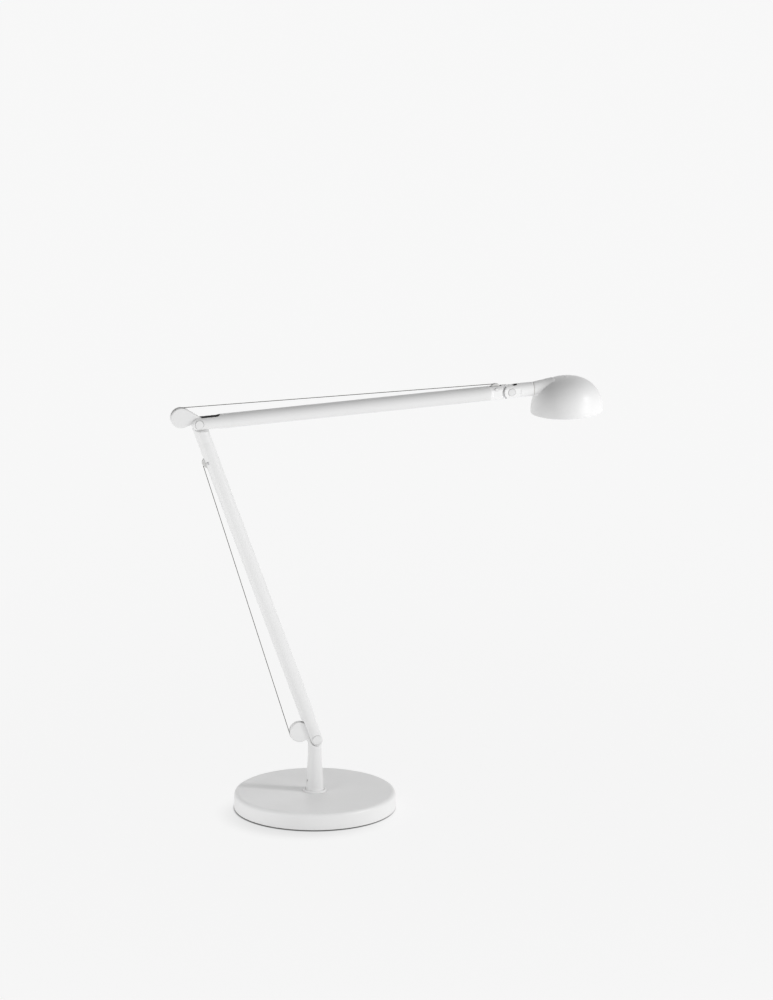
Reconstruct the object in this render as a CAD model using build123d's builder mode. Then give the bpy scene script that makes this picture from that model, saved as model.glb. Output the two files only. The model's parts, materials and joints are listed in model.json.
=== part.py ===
from build123d import *
from math import acos, atan2, cos, degrees, hypot, radians, sin
import os

os.makedirs("parts", exist_ok=True)

# A swing arm desk lamp in millimetres. Z is up, the lamp rests on Z = 0, and the swivel axis of its
# stem is the Z axis. Both arms and the shade lie in the XZ plane, with the shade towards +X.
# An arm has its own directions in that plane: "along" it, from its pivot, and "out", towards its wire.

# Base
base_radius = 100.0
base_top = 22.3
base_edge_radius = 5.5
cover_wall = 1.6
pad_radius = 95.0
pad_thickness = 1.5
collar_radius = 14.65
collar_height = 2.3
foot_gap = 0.6

# Stem and its pivot
stem_foot_radius = 11.3
stem_low_radius = 10.35
stem_top_radius = 8.4
spindle_radius = 6.0
grub_screw_height = 36.0

# Arms: each pivot is given as (x, z), each arm as its length and its angle from +X
tube_radius = 9.0
tube_wall = 1.4
low_pivot = (1.6, 89.2)
lower_length = 433.6
lower_angle = 109.55
upper_length = 390.2
upper_angle = 3.04

# Fork and tongue joints; a clear cut is deep enough to pass out of any arm
tongue_half = 4.6
slot_half = 5.0
pin_radius = 3.0
thread_step = 1.0
clear_cut = 12.0
running_gap = 0.05
press_gap = 0.02
washer_thickness = 0.35
spot_face = 6.6
cap_face = 9.05

# Fixed discs that the balance wires wrap round
disc_radius = 12.7
disc_edge_radius = 1.0
disc_distance = 23.1
low_disc_angle = 154.0
elbow_disc_angle = 159.0

# Balance wires and small pulleys
wire_radius = 0.45
groove_radius = 0.75
wire_on_disc = 12.35
wire_on_pulley = 6.0
pulley_radius = 6.6
pulley_half = 2.1
axle_radius = 2.0
pulley_slot_half = 2.6
pulley_slot_reach = 7.6
low_pulley_along = 383.4
low_pulley_out = 6.2
high_pulley_along = 371.4
high_pulley_out = 5.1

# Head
head_angle = upper_angle
head_radius = 8.9
head_end_radius = 8.65
head_tongue_half = 3.7
head_slot_half = 4.1
head_pin_radius = 2.5
seam_along = 28.15
seam_gap = 0.5
shade_centre = (317.5, 489.8)
shade_tilt = 2.0
shade_radius = 44.7
shade_height = 43.4
shade_squareness = 0.637
shade_wall = 1.6


def place(pivot, angle, along, out=0.0):
    """The (x, z) of a point a distance along an arm from its pivot, and out towards its wire."""
    a = radians(angle)
    x = pivot[0] + along * cos(a) - out * sin(a)
    z = pivot[1] + along * sin(a) + out * cos(a)
    return (x, z)


def side_plane(pivot, angle, y=0.0):
    """The plane of an arm seen from the front: x is along the arm, y is out, and it faces -Y."""
    a = radians(angle)
    return Plane(origin=(pivot[0], y, pivot[1]), x_dir=(cos(a), 0, sin(a)), z_dir=(0, -1, 0))


def plan_plane(pivot, angle):
    """The plane along an arm and the +Y direction, facing out towards the wire."""
    a = radians(angle)
    return Plane(origin=(pivot[0], 0, pivot[1]), x_dir=(cos(a), 0, sin(a)), z_dir=(-sin(a), 0, cos(a)))


def cross_plane(pivot, angle, along, out=0.0):
    """The plane square to an arm: x is +Y, y is out, and it faces along the arm."""
    a = radians(angle)
    x, z = place(pivot, angle, along, out)
    return Plane(origin=(x, 0, z), x_dir=(0, 1, 0), z_dir=(cos(a), 0, sin(a)))


def write(piece, label):
    """Names a finished piece and writes its file."""
    piece.part.label = label
    export_step(piece.part, f"parts/{label}.step")


elbow = place(low_pivot, lower_angle, lower_length)
head_pivot = place(elbow, upper_angle, upper_length)
low_disc = place(low_pivot, low_disc_angle, disc_distance)
elbow_disc = place(elbow, elbow_disc_angle, disc_distance)

# ---------------------------------------------------------------- base

weight_gap = 0.2
recess_radius = 16.0
recess_top = 10.0
bush_radius = 9.0

with BuildPart() as foot_pad:
    with BuildSketch(Plane.XY):
        Circle(pad_radius)
    extrude(amount=pad_thickness)
write(foot_pad, "foot_pad")

# A pressed cover, open below, with a rounded top edge
with BuildPart() as base_cover:
    with BuildSketch(Plane.XY.offset(pad_thickness)):
        Circle(base_radius)
    extrude(amount=base_top - pad_thickness)
    fillet(base_cover.faces().sort_by(Axis.Z)[-1].edges(), base_edge_radius)
    offset(amount=-cover_wall, openings=base_cover.faces().sort_by(Axis.Z)[0])
    with BuildSketch(Plane.XY.offset(base_top)):
        Circle(bush_radius + press_gap)
    extrude(amount=-cover_wall, mode=Mode.SUBTRACT)
write(base_cover, "base_cover")

# The cast weight fills the cover, with a bore for the bush and a recess for the nut
with BuildPart() as base_weight:
    with BuildSketch(Plane.XY.offset(pad_thickness)):
        Circle(base_radius - cover_wall - weight_gap)
    extrude(amount=base_top - cover_wall - pad_thickness)
    chamfer(base_weight.faces().sort_by(Axis.Z)[-1].edges(), base_edge_radius - cover_wall)
    with BuildSketch(Plane.XY.offset(pad_thickness)):
        Circle(recess_radius)
    extrude(amount=recess_top - pad_thickness, mode=Mode.SUBTRACT)
    with BuildSketch(Plane.XY.offset(recess_top)):
        Circle(bush_radius + press_gap)
    extrude(amount=base_top, mode=Mode.SUBTRACT)
write(base_weight, "base_weight")

bush_flange = 1.0
with BuildPart() as base_bush:
    with BuildSketch(Plane.XY.offset(recess_top)):
        Circle(bush_radius)
    extrude(amount=base_top - recess_top)
    with BuildSketch(Plane.XY.offset(base_top)):
        Circle(stem_foot_radius)
    extrude(amount=bush_flange)
    with BuildSketch(Plane.XY.offset(recess_top)):
        Circle(spindle_radius + running_gap)
    extrude(amount=base_top, mode=Mode.SUBTRACT)
write(base_bush, "base_bush")

with BuildPart() as base_collar:
    with BuildSketch(Plane.XY.offset(base_top)):
        Circle(collar_radius)
        Circle(stem_foot_radius + foot_gap, mode=Mode.SUBTRACT)
    extrude(amount=collar_height)
    collar_rims = base_collar.faces().sort_by(Axis.Z)[-1].edges().sort_by(SortBy.RADIUS)
    fillet(collar_rims[-1], 1.2)
    fillet(collar_rims[0], 0.4)
write(base_collar, "base_collar")

# ---------------------------------------------------------------- stem and spindle

stem_bottom = base_top + bush_flange + running_gap
stem_top = low_pivot[1]
socket_depth = 26.0
grub_hole_radius = 2.5
stem_flare_top = stem_bottom + 5.5
stem_taper_end = 74.0
stem_taper_bow = (55.0, 48.0)
# The lower edge of the cut beside the tongue, as (x, z) from the pivot
shoulder_edge = ((-15, 0), (-8.6, 0), (-7.2, -3.2), (6.8, -4.0), (15, -4.0))
lever_heel = ((-9.9, -5.0), (-9.9, -0.6))
ear_gap = 0.7
low_ear_radius = 7.5
tongue_radius = 7.6


def fixed_disc(centre):
    """Adds a fixed disc: a thick plate with a rounded rim and a shallow groove for its wire."""
    with BuildSketch(plan_plane(centre, 0)) as section:
        with BuildLine():
            Polyline((0, tongue_half), (0, -tongue_half), (disc_radius, -tongue_half))
            Polyline((disc_radius, -tongue_half), (disc_radius, tongue_half), (0, tongue_half))
        make_face()
        fillet(section.vertices().group_by(Axis.X)[-1], disc_edge_radius)
        with Locations((wire_on_disc, 0)):
            Circle(groove_radius, mode=Mode.SUBTRACT)
    revolve(section.sketch, axis=Axis(origin=(centre[0], 0, centre[1]), direction=(0, -1, 0)))


with BuildPart() as stem:
    # Turned body: a small flare at the foot, then a slow taper to the joint
    with BuildSketch(Plane.XZ):
        with BuildLine():
            Polyline(
                (stem_low_radius, stem_flare_top),
                (0, stem_flare_top),
                (0, stem_top),
                (stem_top_radius, stem_top),
                (stem_top_radius, stem_taper_end),
            )
            Bezier(
                (stem_top_radius, stem_taper_end),
                (stem_top_radius + 0.3, stem_taper_bow[0]),
                (stem_low_radius, stem_taper_bow[1]),
                (stem_low_radius, stem_flare_top),
            )
        make_face()
        with BuildLine():
            Polyline(
                (stem_low_radius, stem_flare_top),
                (0, stem_flare_top),
                (0, stem_bottom),
                (stem_foot_radius, stem_bottom),
                (stem_foot_radius, stem_bottom + 1.2),
            )
            Bezier(
                (stem_foot_radius, stem_bottom + 1.2),
                (stem_low_radius + 0.2, stem_bottom + 1.6),
                (stem_low_radius, stem_bottom + 3.2),
                (stem_low_radius, stem_flare_top),
            )
        make_face()
    revolve(axis=Axis.Z)
    # Cheeks cut away on both sides of the tongue, to leave room for the ears of the lower arm
    for side in (-1, 1):
        with BuildSketch(side_plane(low_pivot, 0, side * tongue_half)):
            Circle(low_ear_radius + ear_gap)
            with BuildLine():
                Polyline(*shoulder_edge, (15, 15), (-15, 15), close=True)
            make_face()
        extrude(amount=-side * clear_cut, mode=Mode.SUBTRACT)
    # Tongue, lever and fixed disc, cast in one with the stem
    fixed_disc(low_disc)
    with BuildSketch(side_plane(low_pivot, 0)):
        Circle(tongue_radius)
        with BuildLine():
            Polyline(
                place((0, 0), low_disc_angle, disc_distance, -disc_radius + 0.8),
                place((0, 0), low_disc_angle, 0, -tongue_radius),
                *lever_heel,
                place((0, 0), low_disc_angle, disc_distance - 6, 9.0),
                close=True,
            )
        make_face()
    extrude(amount=tongue_half, both=True)
    with BuildSketch(side_plane(low_pivot, 0)):
        Circle(pin_radius + running_gap)
    extrude(amount=clear_cut, both=True, mode=Mode.SUBTRACT)
    # Socket for the spindle, and the tapped hole of the grub screw that holds it
    with BuildSketch(Plane.XY.offset(stem_bottom)):
        Circle(spindle_radius + press_gap)
    extrude(amount=socket_depth, mode=Mode.SUBTRACT)
    with BuildSketch(Plane.YZ.offset(-20)):
        with Locations((0, grub_screw_height)):
            Circle(grub_hole_radius)
    extrude(amount=20, mode=Mode.SUBTRACT)
write(stem, "stem")

spindle_bottom = 2.6
spindle_flat = 0.8
grub_screw_reach = 9.2
thread_radius = 5.0
washer_top = recess_top - running_gap
washer_height = 1.6
washer_radius = 13.5
nut_height = 4.6
nut_radius = 9.2
with BuildPart() as spindle:
    with BuildSketch(Plane.XY.offset(spindle_bottom)):
        Circle(thread_radius)
    extrude(amount=recess_top - spindle_bottom)
    with BuildSketch(Plane.XY.offset(recess_top)):
        Circle(spindle_radius)
    extrude(amount=stem_bottom + socket_depth - 1.0 - recess_top)
    # Flat that the grub screw presses on
    with BuildSketch(Plane.YZ.offset(-spindle_radius)):
        with Locations((0, grub_screw_height)):
            Rectangle(2 * spindle_radius, 8)
    extrude(amount=spindle_flat, mode=Mode.SUBTRACT)
    chamfer(spindle.faces().sort_by(Axis.Z)[0].edges(), 0.6)
write(spindle, "spindle")

with BuildPart() as grub_screw:
    with BuildSketch(Plane.YZ.offset(-grub_screw_reach)):
        with Locations((0, grub_screw_height)):
            Circle(grub_hole_radius - press_gap)
    extrude(amount=grub_screw_reach - (spindle_radius - spindle_flat) - press_gap)
    with BuildSketch(Plane.YZ.offset(-grub_screw_reach)):
        with Locations((0, grub_screw_height)):
            RegularPolygon(1.4, 6)
    extrude(amount=2.2, mode=Mode.SUBTRACT)
write(grub_screw, "grub_screw")

with BuildPart() as spindle_washer:
    with BuildSketch(Plane.XY.offset(washer_top - washer_height)):
        Circle(washer_radius)
        Circle(thread_radius + press_gap, mode=Mode.SUBTRACT)
    extrude(amount=washer_height)
write(spindle_washer, "spindle_washer")

with BuildPart() as spindle_nut:
    with BuildSketch(Plane.XY.offset(washer_top - washer_height - nut_height)):
        RegularPolygon(nut_radius, 6)
        Circle(thread_radius + press_gap, mode=Mode.SUBTRACT)
    extrude(amount=nut_height)
write(spindle_nut, "spindle_nut")

# ---------------------------------------------------------------- pivot pins, caps and washers


def pivot_hardware(label, pivot, pin, cap, tongue, seat, face):
    """A pivot pin with its front cap, the cap nut behind, and a washer each side of the tongue."""
    thin = pin - thread_step
    with BuildPart() as bolt:
        with BuildSketch(side_plane(pivot, 0, -seat)):
            Circle(cap)
        extrude(amount=face - seat)
        fillet(bolt.faces().sort_by(Axis.Y)[0].edges(), 0.35)
        with BuildSketch(side_plane(pivot, 0, -seat)):
            Circle(pin)
        extrude(amount=-2 * seat)
        with BuildSketch(side_plane(pivot, 0, seat)):
            Circle(thin)
        extrude(amount=-(face - seat - thread_step))
    write(bolt, f"{label}_pin")

    with BuildPart() as nut:
        with BuildSketch(side_plane(pivot, 0, seat)):
            Circle(cap)
        extrude(amount=-(face - seat))
        fillet(nut.faces().sort_by(Axis.Y)[-1].edges(), 0.35)
        with BuildSketch(side_plane(pivot, 0, seat)):
            Circle(thin + press_gap)
        extrude(amount=-(face - seat - thread_step + 0.1), mode=Mode.SUBTRACT)
    write(nut, f"{label}_pin_nut")

    for name, side in (("front", -1), ("rear", 1)):
        with BuildPart() as washer:
            with BuildSketch(side_plane(pivot, 0, side * (tongue + running_gap))):
                Circle(cap + 0.8)
                Circle(pin + press_gap, mode=Mode.SUBTRACT)
            extrude(amount=-side * washer_thickness)
        write(washer, f"{label}_washer_{name}")


low_cap_radius = 5.8
elbow_cap_radius = 5.4
head_cap_radius = 4.6
pivot_hardware("low_pivot", low_pivot, pin_radius, low_cap_radius, tongue_half, spot_face, cap_face)
pivot_hardware("elbow", elbow, pin_radius, elbow_cap_radius, tongue_half, spot_face, cap_face)

# ---------------------------------------------------------------- forks at the foot of each arm

spigot_radius = tube_radius - tube_wall - press_gap
spigot_length = 16.0
anchor_radius = 2.0
low_fork_end = 46.0
low_slot_centre = 25.2
high_fork_end = 40.0
high_slot_centre = 22.2
elbow_ear_radius = 8.2


def fork(label, pivot, angle, ear_radius, slot_centre, shank_end, cap):
    """A bar that plugs into an arm's tube, slotted for the fixed disc and rounded about the pin."""
    with BuildPart() as piece:
        with BuildSketch(cross_plane(pivot, angle, -ear_radius)):
            Circle(tube_radius)
        extrude(amount=ear_radius + shank_end)
        with BuildSketch(side_plane(pivot, angle)):
            Circle(ear_radius)
            with Locations((shank_end / 2, 0)):
                Rectangle(shank_end, 2 * tube_radius)
        extrude(amount=tube_radius, both=True, mode=Mode.INTERSECT)
        with BuildSketch(plan_plane(pivot, angle)):
            with Locations((slot_centre, 0)):
                Circle(slot_half)
            with Locations((slot_centre / 2 - 10, 0)):
                Rectangle(slot_centre + 20, 2 * slot_half)
        extrude(amount=tube_radius + 1, both=True, mode=Mode.SUBTRACT)
        for side in (-1, 1):
            with BuildSketch(side_plane(pivot, angle, side * spot_face)):
                Circle(cap + running_gap)
            extrude(amount=-side * clear_cut, mode=Mode.SUBTRACT)
        with BuildSketch(side_plane(pivot, angle)):
            Circle(pin_radius + press_gap)
        extrude(amount=tube_radius + 1, both=True, mode=Mode.SUBTRACT)
        with BuildSketch(cross_plane(pivot, angle, shank_end)):
            Circle(spigot_radius)
        extrude(amount=spigot_length)
    write(piece, label)


fork("lower_fork", low_pivot, lower_angle, low_ear_radius, low_slot_centre, low_fork_end, low_cap_radius)
fork("upper_fork", elbow, upper_angle, elbow_ear_radius, high_slot_centre, high_fork_end, elbow_cap_radius)

# ---------------------------------------------------------------- tubes

low_tube_end = lower_length - 25.6
high_tube_end = upper_length - 27.2


def pulley_slot(pivot, angle, along, depth):
    """Cuts the milled slot that a small pulley stands in, from its floor outwards."""
    x, z = place(pivot, angle, along, depth)
    with BuildSketch(plan_plane((x, z), angle)) as slot:
        SlotOverall(2 * pulley_slot_reach, 2 * pulley_slot_half)
    extrude(slot.sketch, amount=20, mode=Mode.SUBTRACT)


with BuildPart() as lower_tube:
    with BuildSketch(cross_plane(low_pivot, lower_angle, low_fork_end)):
        Circle(tube_radius)
        Circle(tube_radius - tube_wall, mode=Mode.SUBTRACT)
    extrude(amount=low_tube_end - low_fork_end)
    pulley_slot(low_pivot, lower_angle, low_pulley_along, 0)
    low_axle_at = place(low_pivot, lower_angle, low_pulley_along, low_pulley_out)
    with BuildSketch(side_plane(low_axle_at, lower_angle)):
        Circle(axle_radius + press_gap)
    extrude(amount=clear_cut, both=True, mode=Mode.SUBTRACT)
write(lower_tube, "lower_tube")

with BuildPart() as upper_tube:
    with BuildSketch(cross_plane(elbow, upper_angle, high_fork_end)):
        Circle(tube_radius)
        Circle(tube_radius - tube_wall, mode=Mode.SUBTRACT)
    extrude(amount=high_tube_end - high_fork_end)
write(upper_tube, "upper_tube")

# ---------------------------------------------------------------- elbow lever, atop the lower arm

elbow_down = 12.0
lever_start = low_tube_end - lower_length
ear_clearance = 0.4
ear_half = 7.5
shoulder_far = 14.0
elbow_heel = ((-6.0, -4.5), (-8.2, -0.3))

with BuildPart() as elbow_lever:
    with BuildSketch(cross_plane(elbow, lower_angle, lever_start)):
        Circle(tube_radius)
    extrude(amount=-lever_start + tube_radius)
    with BuildSketch(side_plane(elbow, lower_angle)):
        with Locations((lever_start / 2 - 2, 0)):
            Rectangle(-lever_start - 4, 2 * tube_radius)
        with Locations((lever_start / 2, 0)):
            Rectangle(-lever_start, 2 * tongue_radius)
        Circle(tongue_radius)
    extrude(amount=tube_radius, both=True, mode=Mode.INTERSECT)
    # Shoulders cut back on both sides of the tongue, clear of the ears down to the lowest pose
    low_edge = upper_angle - elbow_down - lower_angle
    edge_start = place((0, 0), low_edge, 0, -ear_half - ear_clearance)
    edge_end = place((0, 0), low_edge, 26, -ear_half - ear_clearance)
    for side in (-1, 1):
        with BuildSketch(side_plane(elbow, lower_angle, side * tongue_half)):
            Circle(elbow_ear_radius + ear_gap)
            with BuildLine():
                Polyline(
                    edge_start,
                    edge_end,
                    (shoulder_far, edge_end[1]),
                    (shoulder_far, tube_radius + 1),
                    (0, tube_radius + 1),
                    close=True,
                )
            make_face()
        extrude(amount=-side * clear_cut, mode=Mode.SUBTRACT)
    # Lever and fixed disc, in the plane of the slot
    fixed_disc(elbow_disc)
    with BuildSketch(side_plane(elbow, 0)):
        with BuildLine():
            Polyline(
                place((0, 0), elbow_disc_angle, disc_distance - 2.8, -disc_radius + 0.31),
                place((0, 0), elbow_disc_angle, -1.7, -tongue_radius + 0.2),
                (0, 0),
                *elbow_heel,
                place((0, 0), elbow_disc_angle, disc_distance - 4, disc_radius - 0.8),
                close=True,
            )
        make_face()
    extrude(amount=tongue_half, both=True)
    with BuildSketch(side_plane(elbow, 0)):
        Circle(pin_radius + running_gap)
    extrude(amount=clear_cut, both=True, mode=Mode.SUBTRACT)
    with BuildSketch(cross_plane(elbow, lower_angle, lever_start)):
        Circle(spigot_radius)
    extrude(amount=-spigot_length + 1)
write(elbow_lever, "elbow_lever")

# ---------------------------------------------------------------- nose, at the end of the upper arm

nose_start = high_tube_end
nose_flat = 7.9
shoulder_radius = 11.8
nose_tongue_radius = 7.5
nose_cheek_length = 24.0
wire_bore = 1.8

with BuildPart() as nose:
    with BuildSketch(cross_plane(elbow, upper_angle, nose_start)):
        Circle(tube_radius)
    extrude(amount=upper_length - nose_start + tube_radius)
    with BuildSketch(side_plane(head_pivot, upper_angle)):
        Circle(nose_tongue_radius)
        with Locations((-5, 0)):
            Rectangle(10, 2 * nose_tongue_radius)
        with Locations((-25, 0)):
            Rectangle(40, 2 * tube_radius)
    extrude(amount=tube_radius, both=True, mode=Mode.INTERSECT)
    for side in (-1, 1):
        with BuildSketch(side_plane(head_pivot, upper_angle, side * head_tongue_half)):
            Circle(shoulder_radius)
            with Locations((10, 0)):
                Rectangle(20, 2 * tube_radius + 2)
        extrude(amount=-side * clear_cut, mode=Mode.SUBTRACT)
        # Flat cheeks, from just past the end of the tube
        with BuildSketch(side_plane(head_pivot, upper_angle, side * nose_flat)):
            with Locations((-nose_cheek_length / 2, 0)):
                Rectangle(nose_cheek_length, 2 * tube_radius)
        extrude(amount=-side * clear_cut, mode=Mode.SUBTRACT)
    pulley_slot(elbow, upper_angle, high_pulley_along, high_pulley_out - pulley_radius - 0.8)
    high_axle_at = place(elbow, upper_angle, high_pulley_along, high_pulley_out)
    with BuildSketch(side_plane(high_axle_at, upper_angle)):
        Circle(axle_radius + press_gap)
    extrude(amount=clear_cut, both=True, mode=Mode.SUBTRACT)
    with BuildSketch(side_plane(head_pivot, upper_angle)):
        Circle(head_pin_radius + running_gap)
    extrude(amount=clear_cut, both=True, mode=Mode.SUBTRACT)
    # Spigot into the tube, bored for the wire
    with BuildSketch(cross_plane(elbow, upper_angle, nose_start)):
        Circle(spigot_radius)
    extrude(amount=-spigot_length)
    wire_out = high_pulley_out - wire_on_pulley
    with BuildSketch(cross_plane(elbow, upper_angle, high_pulley_along, wire_out)):
        Circle(wire_bore)
    extrude(amount=-40, mode=Mode.SUBTRACT)
write(nose, "nose")

# ---------------------------------------------------------------- small pulleys, axles, wires and springs

ferrule_radius = 2.6
ferrule_length = 8.0
spring_outside = 5.6
spring_inside = 4.0
spring_foot = 1.5
wrap_angle = 70


def wire_set(label, pivot, angle, disc, along, out, axle_half, hook_at, spring_from, spring_to, rod_from):
    """The small pulley and axle of one arm, its balance wire, and the hidden spring that pulls on it."""
    centre = place(pivot, angle, along, out)
    with BuildPart() as pulley:
        with BuildSketch(side_plane(centre, angle)):
            Circle(pulley_radius)
            Circle(axle_radius + running_gap, mode=Mode.SUBTRACT)
        extrude(amount=pulley_half, both=True)
        with BuildSketch(plan_plane(centre, angle)):
            with Locations((wire_on_pulley, 0)):
                Circle(groove_radius)
        axis = Axis(origin=(centre[0], 0, centre[1]), direction=(0, -1, 0))
        revolve(axis=axis, mode=Mode.SUBTRACT)
    write(pulley, f"{label}_pulley")

    with BuildPart() as axle:
        with BuildSketch(side_plane(centre, angle)):
            Circle(axle_radius)
        extrude(amount=axle_half, both=True)
        ends = axle.faces().sort_by(Axis.Y)
        fillet(ends[0].edges() + ends[-1].edges(), 0.5)
    write(axle, f"{label}_axle")

    # In the plane of the arm: off the disc, straight to the pulley, over it and back into the tube
    a = radians(angle)
    dx, dz = disc[0] - pivot[0], disc[1] - pivot[1]
    disc_at = (dx * cos(a) + dz * sin(a), -dx * sin(a) + dz * cos(a))
    run = (along - disc_at[0], out - disc_at[1])
    tangent = degrees(atan2(run[1], run[0]) + acos((wire_on_disc - wire_on_pulley) / hypot(*run)))
    inner = out - wire_on_pulley
    with BuildPart() as wire:
        with BuildLine(side_plane(pivot, angle)) as route:
            wrap = CenterArc(disc_at, wire_on_disc, tangent + wrap_angle, -wrap_angle)
            over = CenterArc((along, out), wire_on_pulley, tangent, -tangent - 90)
            Line(wrap @ 1, over @ 0)
            Line((along, inner), (hook_at, inner))
        path = route.wires()[0]
        begin = path @ 0
        heading = path % 0
        with BuildSketch(Plane(origin=begin, z_dir=heading)):
            Circle(wire_radius)
        sweep(path=path)
    write(wire, f"{label}_wire")

    # The ferrule takes the wire's end and hooks the spring
    with BuildPart() as ferrule:
        with BuildSketch(cross_plane(pivot, angle, hook_at, inner)):
            Circle(ferrule_radius)
        extrude(amount=-ferrule_length)
    write(ferrule, f"{label}_ferrule")

    with BuildPart() as spring:
        with BuildSketch(cross_plane(pivot, angle, spring_from, inner)):
            Circle(spring_outside)
            Circle(spring_inside, mode=Mode.SUBTRACT)
        extrude(amount=spring_to - spring_from)
        with BuildSketch(cross_plane(pivot, angle, spring_to, inner)):
            Circle(spring_outside)
        extrude(amount=hook_at - ferrule_length - spring_to)
        with BuildSketch(cross_plane(pivot, angle, spring_from, inner)):
            Circle(spring_outside)
        extrude(amount=-spring_foot)
    write(spring, f"{label}_spring")

    with BuildPart() as rod:
        with BuildSketch(cross_plane(pivot, angle, rod_from, inner)):
            Circle(anchor_radius)
        extrude(amount=spring_from - spring_foot - rod_from)
    write(rod, f"{label}_spring_rod")


wire_set(
    "lower", low_pivot, lower_angle, low_disc, low_pulley_along, low_pulley_out,
    axle_half=7.4, hook_at=345, spring_from=130, spring_to=334, rod_from=low_fork_end + spigot_length,
)
wire_set(
    "upper", elbow, upper_angle, elbow_disc, high_pulley_along, high_pulley_out,
    axle_half=8.3, hook_at=320, spring_from=120, spring_to=309, rod_from=high_fork_end + spigot_length,
)

# ---------------------------------------------------------------- head arm, from the tilt joint to the seam

head_slot_end = 8.0
head_flat = 8.0
head_flat_end = 12.0
head_spot_face = 6.1
head_cap_face = 8.45
bolt_radius = 3.0
bolt_from = 14.0
bolt_head_at = 36.5
bolt_head_radius = 5.4
bolt_head_height = 3.0
bolt_socket = 2.8
bolt_socket_depth = 1.8
washer_step = 0.7

with BuildPart() as head_arm:
    with BuildSketch(cross_plane(head_pivot, head_angle, -head_radius)):
        Circle(head_radius)
    with BuildSketch(cross_plane(head_pivot, head_angle, seam_along)):
        Circle(head_end_radius)
    loft()
    with BuildSketch(side_plane(head_pivot, head_angle)):
        Circle(head_radius)
        with Locations((seam_along / 2, 0)):
            Rectangle(seam_along, 2 * head_radius)
    extrude(amount=head_radius, both=True, mode=Mode.INTERSECT)
    with BuildSketch(plan_plane(head_pivot, head_angle)):
        with Locations((head_slot_end / 2 - 10, 0)):
            Rectangle(head_slot_end + 20, 2 * head_slot_half)
    extrude(amount=head_radius + 1, both=True, mode=Mode.SUBTRACT)
    for side in (-1, 1):
        with BuildSketch(side_plane(head_pivot, head_angle, side * head_flat)):
            with Locations((head_flat_end - 12, 0)):
                Rectangle(24, 2 * head_radius)
        extrude(amount=-side * clear_cut, mode=Mode.SUBTRACT)
        with BuildSketch(side_plane(head_pivot, head_angle, side * head_spot_face)):
            Circle(head_cap_radius + running_gap)
        extrude(amount=-side * clear_cut, mode=Mode.SUBTRACT)
    with BuildSketch(side_plane(head_pivot, head_angle)):
        Circle(head_pin_radius + press_gap)
    extrude(amount=clear_cut, both=True, mode=Mode.SUBTRACT)
    with BuildSketch(cross_plane(head_pivot, head_angle, bolt_from)):
        Circle(bolt_radius + press_gap)
    extrude(amount=seam_along, mode=Mode.SUBTRACT)
write(head_arm, "head_arm")

pivot_hardware(
    "head", head_pivot, head_pin_radius, head_cap_radius, head_tongue_half, head_spot_face, head_cap_face
)

with BuildPart() as swivel_bolt:
    with BuildSketch(cross_plane(head_pivot, head_angle, bolt_from)):
        Circle(bolt_radius)
    extrude(amount=bolt_head_at + running_gap - bolt_from)
    with BuildSketch(cross_plane(head_pivot, head_angle, bolt_head_at + running_gap)):
        Circle(bolt_head_radius)
    extrude(amount=bolt_head_height)
    with BuildSketch(cross_plane(head_pivot, head_angle, bolt_head_at + running_gap + bolt_head_height)):
        RegularPolygon(bolt_socket, 6)
    extrude(amount=-bolt_socket_depth, mode=Mode.SUBTRACT)
write(swivel_bolt, "swivel_bolt")

with BuildPart() as swivel_washer:
    with BuildSketch(cross_plane(head_pivot, head_angle, seam_along)):
        Circle(head_end_radius - washer_step)
        Circle(bolt_radius + press_gap, mode=Mode.SUBTRACT)
    extrude(amount=seam_gap - running_gap)
write(swivel_washer, "swivel_washer")

# ---------------------------------------------------------------- shade and light unit

neck_start = seam_along + seam_gap
neck_end = 54.0
neck_end_radius = 12.0
bolt_pocket_radius = 6.4
shade_axis = Axis(
    origin=(shade_centre[0], 0, shade_centre[1]),
    direction=(-sin(radians(shade_tilt)), 0, cos(radians(shade_tilt))),
)


def shade_level(height):
    """The plane square to the shade's axis at a height above its rim."""
    x, z = place(shade_centre, shade_tilt, 0, height)
    a = radians(shade_tilt)
    return Plane(origin=(x, 0, z), x_dir=(cos(a), 0, sin(a)), z_dir=(-sin(a), 0, cos(a)))


def dome_profile(radius, height):
    """Draws half of the dome's outline: a quarter of a slightly squared ellipse, and its two radii."""
    with BuildLine() as outline:
        Bezier(
            (radius, 0),
            (radius, shade_squareness * height),
            (shade_squareness * radius, height),
            (0, height),
        )
        Polyline((0, height), (0, 0), (radius, 0))
    make_face(outline.line)


crown_hole_radius = 1.25
with BuildPart() as shade:
    with BuildSketch(side_plane(shade_centre, shade_tilt)):
        dome_profile(shade_radius, shade_height)
    revolve(axis=shade_axis)
    # Flared neck, from the swivel seam into the side of the dome
    with BuildSketch(cross_plane(head_pivot, head_angle, neck_start)):
        Circle(head_end_radius)
    with BuildSketch(cross_plane(head_pivot, head_angle, neck_end)):
        Circle(neck_end_radius)
    loft()
    with BuildSketch(side_plane(shade_centre, shade_tilt)):
        dome_profile(shade_radius - shade_wall, shade_height - shade_wall)
    revolve(axis=shade_axis, mode=Mode.SUBTRACT)
    # Hub for the swivel bolt, with room behind it for the bolt's head
    with BuildSketch(cross_plane(head_pivot, head_angle, neck_start)):
        Circle(head_end_radius)
    extrude(amount=bolt_head_at - neck_start)
    with BuildSketch(cross_plane(head_pivot, head_angle, bolt_head_at)):
        Circle(bolt_pocket_radius)
    extrude(amount=16, mode=Mode.SUBTRACT)
    with BuildSketch(cross_plane(head_pivot, head_angle, neck_start)):
        Circle(bolt_radius + running_gap)
    extrude(amount=12, mode=Mode.SUBTRACT)
    with BuildSketch(shade_level(shade_height - 4)):
        Circle(crown_hole_radius)
    extrude(amount=8, mode=Mode.SUBTRACT)
write(shade, "shade")

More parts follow.
